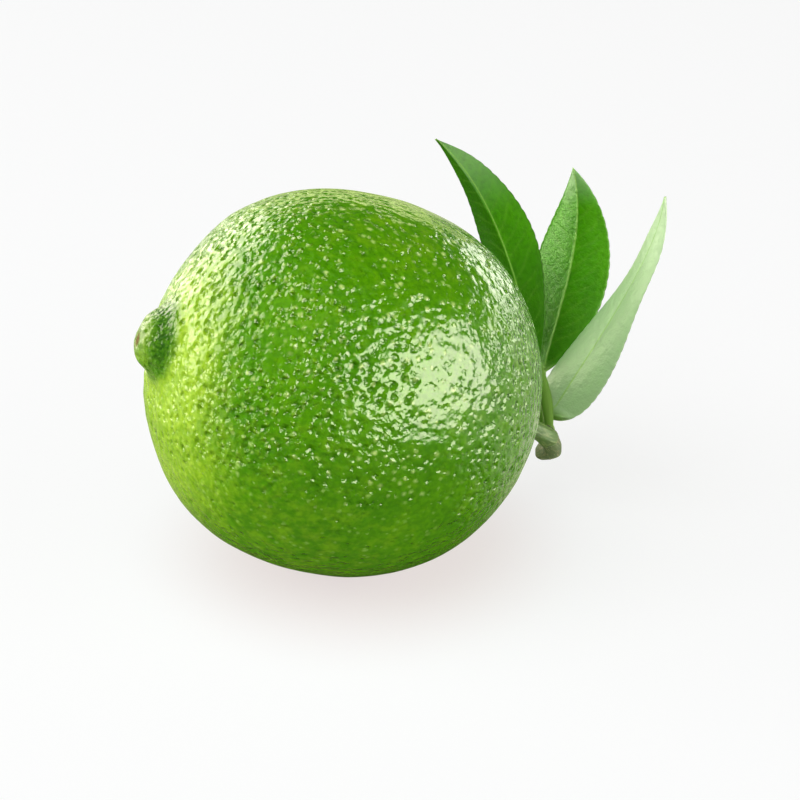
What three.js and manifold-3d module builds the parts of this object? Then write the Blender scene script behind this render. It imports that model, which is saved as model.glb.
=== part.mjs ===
// A whole lime as it is picked: the fruit, its calyx, its stalk and a short piece of twig with three leaves.
// The fruit rests on a small flat spot. Its stem end is turned away and low, its nipple forward and up.
// Millimetres, +Z up. The origin is the middle of the flat spot, on the surface that the fruit rests on.

import * as THREE from "three";
import { ParametricGeometry } from "three/addons/geometries/ParametricGeometry.js";
import { mergeVertices } from "three/addons/utils/BufferGeometryUtils.js";
import Module from "manifold-3d";

const wasm = await Module();
wasm.setup();

// Fruit: a superellipse turned about the long axis. Exponent 2 is an ellipse, and more is fuller.
const BODY_DIAMETER = 54.8;
const BODY_LENGTH = 56.2;
const BODY_FULLNESS = 2.2;
const BODY_STEPS = 30;
const ROUND_STEPS = 48;
const AXIS_RAISED = THREE.MathUtils.degToRad(21.1);
const AXIS_TURNED = THREE.MathUtils.degToRad(18.2);
const FLAT_SPOT_DEPTH = 0.5;
const STEM_DIMPLE = { depth: 0.9, radius: 4.5 };

// Nipple: [radius, height above the body's pole], from the furrow round its foot to the rim of the scar.
const NIPPLE_PROFILE = [
  [5.8, -0.65],
  [4.8, -0.35],
  [4.0, 0.5],
  [3.4, 1.5],
  [2.5, 2.4],
  [1.3, 2.9],
  [0.6, 2.8],
];
const NIPPLE_TIP = 2.75;
const NIPPLE_STEPS = 14;

// Stem end
const TOUCH_GAP = 0.3;
const CALYX = { radius: 3.6, lobes: 5, lobeDepth: 0.14, thickness: 1.1, collar: 1.9 };
const STALK = { radius: 1.35, length: 4.2 };
const TWIG_RADIUS = 1.5;
const TUBE_SIDES = 12;

// Route of the twig and place of each leaf, measured from the middle of the fruit's body.
const TWIG_ROUTE = [
  [30.6, 10.8, -14.5],
  [31.6, 13.2, -17.3],
  [31.6, 16.4, -19.8],
  [30.6, 20.8, -22.3],
];

// Each leaf: how far along the twig its stalk stands, the four control points of its midrib from base to tip,
// how far its upper face turns sideways at base, middle and tip, how far its halves fold up, and its half width.
// bulge shapes the outline: the half width goes as u^base * (1 - u)^tip along the midrib.
const LEAVES = {
  leaf_left: {
    twigPlace: 0.1,
    midrib: [
      [29.5, 16.1, -5.8],
      [26.1, 22.4, 4.4],
      [23.2, 25.2, 18.7],
      [13.7, 24.3, 27.9],
    ],
    faceTurn: [23.4, 33.7, 43.9],
    fold: 22.4,
    halfWidth: 5.15,
    bulge: { base: 1.16, tip: 1.14 },
  },
  leaf_middle: {
    twigPlace: 0.78,
    midrib: [
      [30.4, 23.5, -10.1],
      [33.0, 30.0, -1.7],
      [37.7, 35.0, 8.0],
      [35.0, 36.0, 18.9],
    ],
    faceTurn: [5.5, 3.3, 1.1],
    fold: 28.8,
    halfWidth: 6.6,
    bulge: { base: 0.86, tip: 0.99 },
  },
  leaf_right: {
    twigPlace: 0.36,
    midrib: [
      [31.1, 15.5, -13.7],
      [37.2, 20.3, -5.3],
      [47.7, 22.2, 10.5],
      [47.6, 22.3, 19.6],
    ],
    faceTurn: [-25.6, -76.4, -52.8],
    fold: -6,
    halfWidth: 6.1,
    bulge: { base: 0.5, tip: 1.0 },
  },
};
// The way a leaf's upper face looks before it turns: forward and this far up.
const FACE_RAISED = THREE.MathUtils.degToRad(27);
const LEAF_STALK_RADIUS = 0.65;
const LEAF_HALF_THICKNESS = 0.24;
const LEAF_TIP_HALF_WIDTH = 0.25;
const LEAF_STALK_STEPS = 5;
const BLADE_STEPS = 18;
const LEAF_SIDES = 12;

const skin = new THREE.MeshStandardMaterial({ color: 0x5f9c1c, roughness: 0.38, metalness: 0 });
const leafGreen = new THREE.MeshStandardMaterial({ color: 0x3f8c18, roughness: 0.45, metalness: 0 });
const stemGreen = new THREE.MeshStandardMaterial({ color: 0x6b8a3a, roughness: 0.6, metalness: 0 });
const bark = new THREE.MeshStandardMaterial({ color: 0x5d7434, roughness: 0.7, metalness: 0 });

const BODY_HALF_LENGTH = BODY_LENGTH / 2;
const BODY_RADIUS = BODY_DIAMETER / 2;
// Unit vector along the fruit, from the stem end to the nipple.
const fruitAxis = new THREE.Vector3(
  -Math.cos(AXIS_RAISED) * Math.cos(AXIS_TURNED),
  -Math.cos(AXIS_RAISED) * Math.sin(AXIS_TURNED),
  Math.sin(AXIS_RAISED),
);
const alongFruit = new THREE.Quaternion().setFromUnitVectors(new THREE.Vector3(0, 1, 0), fruitAxis);

function merged(geometry) {
  geometry.deleteAttribute("normal");
  geometry.deleteAttribute("uv");
  return mergeVertices(geometry);
}

function solidOf(geometry) {
  const shape = merged(geometry);
  return new wasm.Manifold(
    new wasm.Mesh({
      numProp: 3,
      vertProperties: shape.attributes.position.array,
      triVerts: new Uint32Array(shape.index.array),
    }),
  );
}

function geometryOf(solid) {
  const { vertProperties, triVerts } = solid.getMesh();
  return new THREE.BufferGeometry()
    .setAttribute("position", new THREE.BufferAttribute(vertProperties, 3))
    .setIndex(new THREE.BufferAttribute(triVerts, 1));
}

function meshOf(name, geometry, material) {
  geometry.computeVertexNormals();
  const mesh = new THREE.Mesh(geometry, material);
  mesh.name = name;
  return mesh;
}

function points3(list) {
  return list.map((point) => new THREE.Vector3(...point));
}

// Distance from the body's axis, and place along it, for an angle from the nipple's pole.
function bodyPoint(angle) {
  const power = 2 / BODY_FULLNESS;
  const along = Math.sign(Math.cos(angle)) * Math.abs(Math.cos(angle)) ** power;
  return new THREE.Vector2(BODY_RADIUS * Math.sin(angle) ** power, BODY_HALF_LENGTH * along);
}

// Place along the axis of the dimpled stem end, at a distance from the axis.
function stemEndAt(radius) {
  const body = -BODY_HALF_LENGTH * (1 - (radius / BODY_RADIUS) ** BODY_FULLNESS) ** (1 / BODY_FULLNESS);
  return body + STEM_DIMPLE.depth * Math.exp(-((radius / STEM_DIMPLE.radius) ** 2));
}

// The body's lowest point before the flat spot is cut, measured from its middle.
function lowestBodyPoint() {
  const dual = BODY_FULLNESS / (BODY_FULLNESS - 1);
  const alongPart = BODY_HALF_LENGTH * Math.sin(AXIS_RAISED);
  const acrossPart = BODY_RADIUS * Math.cos(AXIS_RAISED);
  const depth = (alongPart ** dual + acrossPart ** dual) ** (1 / dual);
  const along = BODY_HALF_LENGTH * (alongPart / depth) ** (dual - 1);
  const across = BODY_RADIUS * (acrossPart / depth) ** (dual - 1);
  const down = new THREE.Vector3(0, 0, -1).addScaledVector(fruitAxis, Math.sin(AXIS_RAISED)).normalize();
  return down.multiplyScalar(across).addScaledVector(fruitAxis, -along);
}

const restPoint = lowestBodyPoint();
restPoint.z += FLAT_SPOT_DEPTH;

function makeFruit() {
  const footAngle = Math.asin((NIPPLE_PROFILE[0][0] / BODY_RADIUS) ** (BODY_FULLNESS / 2));
  const profile = [];
  for (let step = 0; step < BODY_STEPS; step += 1) {
    const angle = THREE.MathUtils.lerp(Math.PI, footAngle, step / BODY_STEPS);
    const point = step === 0 ? new THREE.Vector2(0, -BODY_HALF_LENGTH) : bodyPoint(angle);
    if (point.y < 0) point.y = stemEndAt(point.x);
    profile.push(point);
  }
  const nipple = new THREE.SplineCurve(
    NIPPLE_PROFILE.map(([radius, height]) => new THREE.Vector2(radius, BODY_HALF_LENGTH + height)),
  );
  profile.push(...nipple.getPoints(NIPPLE_STEPS), new THREE.Vector2(0, BODY_HALF_LENGTH + NIPPLE_TIP));
  const body = new THREE.LatheGeometry(profile, ROUND_STEPS).applyQuaternion(alongFruit);
  const table = new THREE.BoxGeometry(BODY_LENGTH, BODY_LENGTH, BODY_LENGTH);
  table.translate(restPoint.x, restPoint.y, restPoint.z - BODY_LENGTH / 2);
  return meshOf("fruit", geometryOf(solidOf(body).subtract(solidOf(table))), skin);
}

// A closed body swept through rings. Each ring has a middle, two directions across it and half sizes along
// them, and fold is the angle that its sides are raised by. A ring of no size closes an end.
function sweptBody(rings, sides) {
  const place = (round, along, target) => {
    const ring = rings[Math.round(along * (rings.length - 1))];
    const side = ring.halfWidth * Math.cos(2 * Math.PI * round);
    const across = side * Math.cos(ring.fold);
    const up = ring.halfHeight * Math.sin(2 * Math.PI * round) + Math.abs(side) * Math.sin(ring.fold);
    target.copy(ring.middle).addScaledVector(ring.across, across).addScaledVector(ring.up, up);
  };
  return merged(new ParametricGeometry(place, sides, rings.length - 1));
}

// The calyx is a lobed button that sits in the dimple, with a collar that takes the stalk.
function makeCalyx() {
  const seat = (radius) => stemEndAt(radius) - TOUCH_GAP;
  const outer = seat(CALYX.radius) - CALYX.thickness;
  const profile = [
    [0, seat(0)],
    [CALYX.radius / 2, seat(CALYX.radius / 2)],
    [CALYX.radius, seat(CALYX.radius)],
    [CALYX.radius, seat(CALYX.radius) - CALYX.thickness / 2],
    [CALYX.radius * 0.8, outer],
    [CALYX.collar, outer - CALYX.thickness / 2],
    [0, outer - CALYX.thickness / 2],
  ];
  const place = (round, along, target) => {
    const [radius, height] = profile[Math.round(along * (profile.length - 1))];
    const lobed = radius * (1 + (CALYX.lobeDepth * Math.cos(2 * Math.PI * CALYX.lobes * round) * radius) / CALYX.radius);
    target.set(lobed * Math.cos(2 * Math.PI * round), height, lobed * Math.sin(2 * Math.PI * round));
  };
  const shape = new ParametricGeometry(place, 8 * CALYX.lobes, profile.length - 1);
  return meshOf("calyx", merged(shape).applyQuaternion(alongFruit), stemGreen);
}

function tube(route, radius) {
  const outline = new THREE.Shape().absarc(0, 0, radius, 0, 2 * Math.PI);
  return merged(
    new THREE.ExtrudeGeometry(outline, { steps: 12, curveSegments: TUBE_SIDES, extrudePath: route }),
  );
}

const calyxFace = stemEndAt(CALYX.radius) - TOUCH_GAP - CALYX.thickness * 1.5;
const twigRoute = new THREE.CatmullRomCurve3(points3(TWIG_ROUTE));

// The stalk leaves the calyx along the fruit's axis and bends into the line of the twig.
function makeStalk() {
  const start = fruitAxis.clone().multiplyScalar(calyxFace - TOUCH_GAP);
  const inTwigLine = twigRoute.getTangentAt(0);
  const end = twigRoute.getPointAt(0).addScaledVector(inTwigLine, -TOUCH_GAP);
  const route = new THREE.CubicBezierCurve3(
    start,
    start.clone().addScaledVector(fruitAxis, -STALK.length / 3),
    end.clone().addScaledVector(inTwigLine, -STALK.length / 3),
    end,
  );
  return meshOf("fruit_stalk", tube(route, STALK.radius), stemGreen);
}

function makeTwig() {
  return meshOf("twig", tube(twigRoute, TWIG_RADIUS), bark);
}

// The way the upper face looks where it is turned sideways by an angle.
function faceDirection(turn) {
  const forward = new THREE.Vector3(0, -Math.cos(FACE_RAISED), Math.sin(FACE_RAISED));
  return forward.multiplyScalar(Math.cos(turn)).add(new THREE.Vector3(Math.sin(turn), 0, 0));
}

// One leaf is one swept body: its stalk from the twig to the blade, then the folded blade along its midrib.
function makeLeaf(name, leaf) {
  const midrib = new THREE.CubicBezierCurve3(...points3(leaf.midrib));
  const base = midrib.getPointAt(0);
  const node = twigRoute.getPointAt(leaf.twigPlace);
  const outward = base.clone().sub(node).projectOnPlane(twigRoute.getTangentAt(leaf.twigPlace)).normalize();
  const root = node.clone().addScaledVector(outward, TWIG_RADIUS + TOUCH_GAP);
  const handle = root.distanceTo(base) / 3;
  const stalk = new THREE.CubicBezierCurve3(
    root,
    root.clone().addScaledVector(outward, handle),
    base.clone().addScaledVector(midrib.getTangentAt(0), -handle),
    base,
  );
  const [baseTurn, middleTurn, tipTurn] = leaf.faceTurn.map(THREE.MathUtils.degToRad);
  const turnAt = (u) => baseTurn * (1 - u) * (1 - 2 * u) + middleTurn * 4 * u * (1 - u) + tipTurn * u * (2 * u - 1);
  const fold = THREE.MathUtils.degToRad(leaf.fold);
  const ringOn = (curve, u, turn, size) => {
    const tangent = curve.getTangentAt(u);
    const face = faceDirection(turn);
    const up = face.addScaledVector(tangent, -face.dot(tangent)).normalize();
    return { middle: curve.getPointAt(u), across: up.clone().cross(tangent), up, fold: 0, ...size };
  };
  const round = { halfWidth: LEAF_STALK_RADIUS, halfHeight: LEAF_STALK_RADIUS };
  const closed = { halfWidth: 0, halfHeight: 0 };
  const rings = [ringOn(stalk, 0, baseTurn, closed)];
  for (let step = 0; step < LEAF_STALK_STEPS; step += 1) {
    rings.push(ringOn(stalk, step / LEAF_STALK_STEPS, baseTurn, round));
  }
  const { base: basePower, tip: tipPower } = leaf.bulge;
  const widest = basePower / (basePower + tipPower);
  const peak = widest ** basePower * (1 - widest) ** tipPower;
  for (let step = 0; step <= BLADE_STEPS; step += 1) {
    const u = step / BLADE_STEPS;
    const narrowest = THREE.MathUtils.lerp(LEAF_STALK_RADIUS, LEAF_TIP_HALF_WIDTH, u);
    const halfWidth = Math.max((leaf.halfWidth * u ** basePower * (1 - u) ** tipPower) / peak, narrowest);
    rings.push(ringOn(midrib, u, turnAt(u), { halfWidth, halfHeight: LEAF_HALF_THICKNESS, fold }));
  }
  rings.push(ringOn(midrib, 1, tipTurn, closed));
  return meshOf(name, sweptBody(rings, LEAF_SIDES), leafGreen);
}

const lime = new THREE.Group();
lime.position.copy(restPoint).negate();
lime.add(makeFruit(), makeCalyx(), makeStalk(), makeTwig());
for (const [name, leaf] of Object.entries(LEAVES)) {
  lime.add(makeLeaf(name, leaf));
}

export default lime;
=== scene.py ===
"""A whole lime with its calyx, stalk and a short leafy twig, on a white sweep under soft lamps."""

import math

import bpy
import numpy as np
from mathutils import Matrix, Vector


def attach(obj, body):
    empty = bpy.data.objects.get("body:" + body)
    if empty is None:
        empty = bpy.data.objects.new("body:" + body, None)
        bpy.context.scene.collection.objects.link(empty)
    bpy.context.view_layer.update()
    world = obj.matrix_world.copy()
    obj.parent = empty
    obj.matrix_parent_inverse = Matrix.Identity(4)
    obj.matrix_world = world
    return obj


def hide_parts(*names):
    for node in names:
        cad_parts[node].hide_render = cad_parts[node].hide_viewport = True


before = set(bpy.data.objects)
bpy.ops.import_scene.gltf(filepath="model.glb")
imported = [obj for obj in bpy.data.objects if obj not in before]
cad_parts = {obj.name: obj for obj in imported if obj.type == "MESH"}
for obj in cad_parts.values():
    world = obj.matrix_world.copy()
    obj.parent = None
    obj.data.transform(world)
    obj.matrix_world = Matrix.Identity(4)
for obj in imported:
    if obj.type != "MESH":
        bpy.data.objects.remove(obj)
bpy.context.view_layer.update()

MM = 0.001
RIGHT = Vector((1, 0, 0))
FRONT = Vector((0, -1, 0))
UP = Vector((0, 0, 1))


# ----- dimensions, in millimetres

BODY_RADIUS = 27.4
BODY_HALF_LENGTH = 28.1
BODY_FULLNESS = 2.2
AXIS_RAISED = math.radians(21.1)
AXIS_TURNED = math.radians(18.2)
FLAT_SPOT_DEPTH = 0.5
STEM_DIMPLE_DEPTH = 0.9
STEM_DIMPLE_RADIUS = 4.5
NIPPLE_TIP = 2.75
# [radius, height above the body's pole], from the scar's rim to the furrow round the nipple's foot.
NIPPLE_PROFILE = [
    (0.6, 2.8), (1.3, 2.9), (2.5, 2.4), (3.4, 1.5), (4.0, 0.55), (4.8, -0.2), (6.0, -0.48), (7.2, -0.68)
]
FRUIT_AXIS = Vector((
    -math.cos(AXIS_RAISED) * math.cos(AXIS_TURNED),
    -math.cos(AXIS_RAISED) * math.sin(AXIS_TURNED),
    math.sin(AXIS_RAISED),
))

CALYX_RADIUS = 3.6
STALK_RADIUS = 1.35
TWIG_RADIUS = 1.5
# The twig's route from the stalk to its cut end, from the middle of the fruit.
TWIG_ROUTE = [(30.6, 10.8, -14.5), (31.6, 13.2, -17.3), (31.6, 16.4, -19.8), (30.6, 20.8, -22.3)]

# Each leaf: its place along the twig, its midrib's control points from the fruit's middle, how far its face
# turns sideways at base, middle and tip, how far its halves fold up, and its half width, which goes as
# u^base * (1 - u)^tip with the powers in bulge. pale is a painted sheen: how pale base and tip are, and
# between which places that changes. dark is how dark one half is with painted shade, and how dark the base
# is. seed shifts its notches, ripples and veins.
LEAVES = {
    "leaf_left": {
        "twig_place": 0.1,
        "midrib": [(29.5, 16.1, -5.8), (26.1, 22.4, 4.4), (23.2, 25.2, 18.7), (13.7, 24.3, 27.9)],
        "face_turn": (23.4, 33.7, 43.9), "fold": 22.4, "half_width": 5.15,
        "bulge": (1.16, 1.14), "pale": (0.0, 0.22, 0.6, 0.9), "dark": (0.7, 0.6), "seed": 3,
    },
    "leaf_middle": {
        "twig_place": 0.78,
        "midrib": [(30.4, 23.5, -10.1), (33.0, 30.0, -1.7), (37.7, 35.0, 8.0), (35.0, 36.0, 18.9)],
        "face_turn": (5.5, 3.3, 1.1), "fold": 28.8, "half_width": 6.6,
        "bulge": (0.86, 0.99), "pale": (0.0, 0.3, 0.8, 1.0), "dark": (0.0, 0.4), "seed": 8,
    },
    "leaf_right": {
        "twig_place": 0.36,
        "midrib": [(31.1, 15.5, -13.7), (37.2, 20.3, -5.3), (47.7, 22.2, 10.5), (47.6, 22.3, 19.6)],
        "face_turn": (-25.6, -76.4, -52.8), "fold": -6, "half_width": 6.1,
        "bulge": (0.5, 1.0), "pale": (0.64, 1.0, 0.55, 1.1), "dark": (0.0, 0.0), "seed": 14,
    },
}
FACE_RAISED = math.radians(27)
LEAF_STALK_RADIUS = 0.65


def fruit_middle():
    """The middle of the fruit's body, when its flat spot is on the floor."""
    dual = BODY_FULLNESS / (BODY_FULLNESS - 1)
    along_part = BODY_HALF_LENGTH * math.sin(AXIS_RAISED)
    across_part = BODY_RADIUS * math.cos(AXIS_RAISED)
    depth = (along_part**dual + across_part**dual) ** (1 / dual)
    along = BODY_HALF_LENGTH * (along_part / depth) ** (dual - 1)
    across = BODY_RADIUS * (across_part / depth) ** (dual - 1)
    down = (FRUIT_AXIS * math.sin(AXIS_RAISED) - UP).normalized()
    rest = down * across - FRUIT_AXIS * along + UP * FLAT_SPOT_DEPTH
    return np.array(-rest)


MIDDLE = fruit_middle()


# ----- curves and meshes

CURVE_STEPS = 400
SPLINE_STEPS = 40


def unit(vectors):
    vectors = np.asarray(vectors, float)
    return vectors / np.linalg.norm(vectors, axis=-1, keepdims=True)


def smooth(value, low, high):
    """0 before low, 1 past high, and a smooth step between. low may be the larger of the two."""
    share = np.clip((value - low) / (high - low), 0, 1)
    return share * share * (3 - 2 * share)


def hump(value, width):
    """1 where the value is 0, and less on both sides."""
    return np.exp(-((value / width) ** 2))


def length_of(line):
    return np.linalg.norm(np.diff(line, axis=0), axis=1).sum()


def evenly(points, count):
    """The same line, with its points at equal steps."""
    points = np.asarray(points, float)
    lengths = np.r_[0, np.cumsum(np.linalg.norm(np.diff(points, axis=0), axis=1))]
    at = np.linspace(0, lengths[-1], count)
    return np.stack([np.interp(at, lengths, points[:, axis]) for axis in range(points.shape[1])], 1)


def bezier(controls, count):
    a, b, c, d = np.array(controls, float)
    t = np.linspace(0, 1, CURVE_STEPS)[:, None]
    line = (1 - t) ** 3 * a + 3 * t * (1 - t) ** 2 * b + 3 * t * t * (1 - t) * c + t**3 * d
    return evenly(line, count)


def spline(points, count):
    """A smooth line through the points."""
    points = np.array(points, float)
    padded = np.vstack([2 * points[0] - points[1], points, 2 * points[-1] - points[-2]])
    line = []
    t = np.linspace(0, 1, SPLINE_STEPS, endpoint=False)[:, None]
    for a, b, c, d in zip(padded, padded[1:], padded[2:], padded[3:]):
        pull = (2 * a - 5 * b + 4 * c - d) * t**2 + (3 * b - 3 * c + d - a) * t**3
        line.append(b + 0.5 * ((c - a) * t + pull))
    return evenly(np.vstack([*line, points[-1:]]), count)


def tangents(points):
    return unit(np.gradient(points, axis=0))


def square_to(ways, ups):
    """The directions ups, turned square to the ways."""
    return unit(ups - (ups * ways).sum(1)[:, None] * ways)


def from_fruit_frame(points):
    """Points of the fruit's own frame, (upward, sideways, along its axis), in the room's directions."""
    axis = np.array(FRUIT_AXIS)
    upward = unit(np.array(UP) - axis * axis[2])
    return points @ np.array([upward, np.cross(axis, upward), axis])


def new_object(name, data):
    obj = bpy.data.objects.new(name, data)
    bpy.context.scene.collection.objects.link(obj)
    return obj


def new_mesh(name, points, faces, attributes=None):
    """A smooth mesh object from points in millimetres. attributes have a value for each point."""
    mesh = bpy.data.meshes.new(name)
    mesh.from_pydata((np.asarray(points) * MM).tolist(), [], [list(map(int, face)) for face in faces])
    for title, values in (attributes or {}).items():
        values = np.asarray(values, np.float32)
        kind, field = ("FLOAT", "value") if values.ndim == 1 else ("FLOAT_VECTOR", "vector")
        mesh.attributes.new(title, kind, "POINT").data.foreach_set(field, values.ravel())
    mesh.shade_smooth()
    return new_object(name, mesh)


def grid_faces(rows, columns, closed):
    """Quads of a grid of points. closed joins the last column to the first."""
    here = np.arange(rows * columns).reshape(rows, columns)
    side = np.roll(here, -1, axis=1)
    faces = np.stack([here[:-1], side[:-1], side[1:], here[1:]], -1)
    if not closed:
        faces = faces[:, :-1]
    return faces.reshape(-1, 4)


def capped_faces(rows, columns):
    """Quads of a closed grid, with a fan at each end round one more point there."""
    first = rows * columns
    faces = grid_faces(rows, columns, True).tolist()
    for column in range(columns):
        after = (column + 1) % columns
        faces.append([first, after, column])
        faces.append([first + 1, first - columns + column, first - columns + after])
    return faces


def capped_body(name, grid, attributes):
    """A closed body from rows of points round it, in millimetres from the fruit's middle."""
    rows, columns = grid.shape[:2]

    def with_ends(values):
        values = values.reshape(rows, columns, -1)
        return np.concatenate([values.reshape(rows * columns, -1), values[[0, -1]].mean(1)]).squeeze()

    padded = {title: with_ends(values) for title, values in attributes.items()}
    return new_mesh(name, with_ends(grid) + MIDDLE, capped_faces(rows, columns), padded)


def swept(name, line, ways, ups, outline, attributes):
    """A closed body along a line. Each row has its way, its up and its outline of [across, up] pairs."""
    ups = square_to(ways, ups)
    across = np.cross(ups, ways)
    grid = line[:, None] + outline[..., :1] * across[:, None] + outline[..., 1:] * ups[:, None]
    return capped_body(name, grid, attributes)


def finish_piece(piece, node, material):
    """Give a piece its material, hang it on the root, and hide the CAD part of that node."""
    piece.data.materials.clear()
    piece.data.materials.append(material)
    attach(piece, "root")
    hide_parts(node)


def wave_noise(points, size, seed, waves=24):
    """Smooth noise from about -1 to 1: plane waves of about that size in random directions."""
    rng = np.random.default_rng(seed)
    ways = unit(rng.normal(size=(waves, points.shape[1])))
    sizes = size * rng.uniform(0.7, 1.5, waves)
    phases = rng.uniform(0, 2 * math.pi, waves)
    total = np.sin(points @ (ways / sizes[:, None] * 2 * math.pi).T + phases).sum(1)
    return total * math.sqrt(2 / waves) / 1.6


# ----- nodes


def add_node(tree, kind, inputs=None, **settings):
    """A node. inputs maps a socket's name or number to a value or to another socket."""
    node = tree.nodes.new(kind)
    for key, value in settings.items():
        setattr(node, key, value)
    for key, value in (inputs or {}).items():
        if isinstance(value, bpy.types.NodeSocket):
            tree.links.new(value, node.inputs[key])
        else:
            node.inputs[key].default_value = value
    return node


def calculate(tree, operation, *values):
    return add_node(tree, "ShaderNodeMath", dict(enumerate(values)), operation=operation).outputs[0]


def vector_math(tree, operation, *values):
    return add_node(tree, "ShaderNodeVectorMath", dict(enumerate(values)), operation=operation).outputs[0]


def multiply(tree, product, *values):
    for value in values:
        product = calculate(tree, "MULTIPLY", product, value)
    return product


def add_up(tree, total, *values):
    for value in values:
        total = calculate(tree, "ADD", total, value)
    return total


def remap(tree, value, low, high, to_low=0.0, to_high=1.0, step="SMOOTHSTEP"):
    inputs = {"Value": value, "From Min": low, "From Max": high, "To Min": to_low, "To Max": to_high}
    return add_node(tree, "ShaderNodeMapRange", inputs, interpolation_type=step).outputs[0]


def parts_of(tree, vector):
    """The three numbers of a vector."""
    return tuple(add_node(tree, "ShaderNodeSeparateXYZ", {0: vector}).outputs)


def attribute(tree, name, output="Vector"):
    return add_node(tree, "ShaderNodeAttribute", attribute_name=name).outputs[output]


def srgb(red, green, blue):
    """A screen colour in the linear numbers that a shader takes."""
    linear = [
        level / 12.92 if level <= 0.04045 else ((level + 0.055) / 1.055) ** 2.4
        for level in (red / 255, green / 255, blue / 255)
    ]
    return (*linear, 1)


def mix_colours(tree, share, first, second, blend="MIX"):
    """A Mix node's inputs 0, 6 and 7 are its share and its colours, and output 2 is their mix."""
    inputs = {0: share, 6: first, 7: second}
    return add_node(tree, "ShaderNodeMix", inputs, data_type="RGBA", blend_type=blend).outputs[2]


def painted(tree, base, coats):
    """base with coats over it. A coat is a share, a colour and, if it isn't a plain mix, a blend."""
    for share, colour, *blend in coats:
        base = mix_colours(tree, share, base, colour, *blend)
    return base


def noise_of(tree, place, size, detail=2.0, roughness=0.5):
    """Noise from 0 to 1 with features of about that size."""
    inputs = {"Vector": place, "Scale": 1 / size, "Detail": detail, "Roughness": roughness}
    return add_node(tree, "ShaderNodeTexNoise", inputs).outputs["Fac"]


def empty_tree(owner):
    owner.use_nodes = True
    owner.node_tree.nodes.clear()
    return owner.node_tree


def new_material(name, roughness, specular):
    """A material with one Principled shader, and its tree."""
    material = bpy.data.materials.new(name)
    tree = empty_tree(material)
    inputs = {"Roughness": roughness, "Specular IOR Level": specular}
    shader = add_node(tree, "ShaderNodeBsdfPrincipled", inputs)
    add_node(tree, "ShaderNodeOutputMaterial", {"Surface": shader.outputs[0]})
    return material, tree, shader


def set_surface(tree, shader, colour, height):
    """height is in millimetres."""
    tree.links.new(colour, shader.inputs["Base Color"])
    bump = add_node(tree, "ShaderNodeBump", {"Height": height, "Distance": MM, "Strength": 1.0})
    tree.links.new(bump.outputs[0], shader.inputs["Normal"])


# ----- the skin's relief

# Layers of the skin, with one pit or dot in each cell of their noise, in millimetres. zones are ramps of
# (direction, start, end, share before, share after), and their product is how strongly a layer shows. The
# directions are the fruit's own: upward, and along its axis to the nipple. in_belt is a layer's share in the
# calm belt near the stem.
CALM_BELT = [("along", -13.0, -8.0, 0.0, 1.0), ("along", -2.0, 4.0, 1.0, 0.0)]
UNDERSIDE = ("upward", -24.0, -12.0, 0.35, 1.0)
# Oil glands, sunk in.
LARGE_PITS = {
    "cell": 1.6, "radius": 0.56, "depth": 0.25, "power": 1.6, "shift": (0, 0, 0), "in_belt": 0.9,
    "zones": [UNDERSIDE],
}
SMALL_PITS = {
    "cell": 0.92, "radius": 0.42, "depth": 0.15, "power": 1.6, "shift": (31, 7, 19), "in_belt": 0.4,
    "zones": [("along", 0.0, 15.0, 1.0, 0.15), UNDERSIDE],
}
# Wide shallow dents between the pits.
DENTS = {
    "cell": 1.2, "radius": 0.74, "depth": 0.4, "power": 1.3, "shift": (7, 53, 3), "in_belt": 0.35,
    "zones": [
        ("along", 25.0, 27.5, 1.0, 0.4), ("along", 2.0, 12.0, 1.0, 1.3),
        ("upward", -15.0, 0.0, 0.3, 1.0), ("upward", 14.0, 22.0, 1.0, 0.4),
    ],
}
# Oil glands that show as small raised dots, painted pale on top: partly their own colour and partly painted
# glints.
GLANDS = {
    "cell": 1.2, "radius": 0.6, "least": 0.02, "height": 0.09, "shift": (13, 29, 61),
    "zones": [("upward", -12.0, 0.0, 0.3, 1.0), ("along", -14.0, 0.0, 0.3, 1.0)],
}
# Low grains, close together on the nipple's side. Their tops are painted paler, as painted light.
GRAINS = {
    "cell": 1.15, "radius": 0.66, "least": 0.35, "height": 0.34, "shift": (41, 3, 17),
    "zones": [
        ("along", 8.0, 15.0, 0.0, 1.0), ("along", 22.0, 26.0, 1.0, 0.2), ("upward", -12.0, 0.0, 0.15, 1.0),
    ],
}
# Soft noise in the relief, with ramps of its height.
SWELLS = {"size": 1.7, "in_belt": 0.6, "zones": [("along", 8.0, 17.0, 0.34, 0.22)]}
COBBLES = {"size": 0.62, "in_belt": 0.7, "zones": [("along", -5.0, 12.0, 0.06, 0.03)]}
# A pit's depth is by chance between these shares of its layer's depth.
PIT_DEPTH_RANGE = (0.25, 1.25)
# The mesh takes these shares of the depths, with the large pits widened so that it shows them.
MESH_PIT_DEPTH = 0.5
MESH_PIT_WIDENING = 1.15
MESH_DENT_DEPTH = 0.35


def bent(tree, place):
    """place moved about a little, so that round pits become uneven ones."""
    inputs = {"Vector": place, "Scale": 1.7, "Detail": 1.0}
    wander = add_node(tree, "ShaderNodeTexNoise", inputs).outputs["Color"]
    return vector_math(tree, "MULTIPLY_ADD", wander, (0.5, 0.5, 0.5), place)


def ramps_of(tree, place, zones):
    """The product of the zones' ramps at a place in the fruit's frame."""
    parts = parts_of(tree, place)
    directions = {"upward": parts[0], "along": parts[2]}
    return multiply(tree, *(remap(tree, directions[direction], *ramp) for direction, *ramp in zones))


def layer_share(tree, place, layer):
    """How strongly a layer shows at a place in the fruit's frame."""
    share = ramps_of(tree, place, layer["zones"])
    if "in_belt" in layer:
        calm = ramps_of(tree, place, CALM_BELT)
        share = multiply(tree, share, remap(tree, calm, 0.0, 1.0, 1.0, layer["in_belt"]))
    return share


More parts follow.
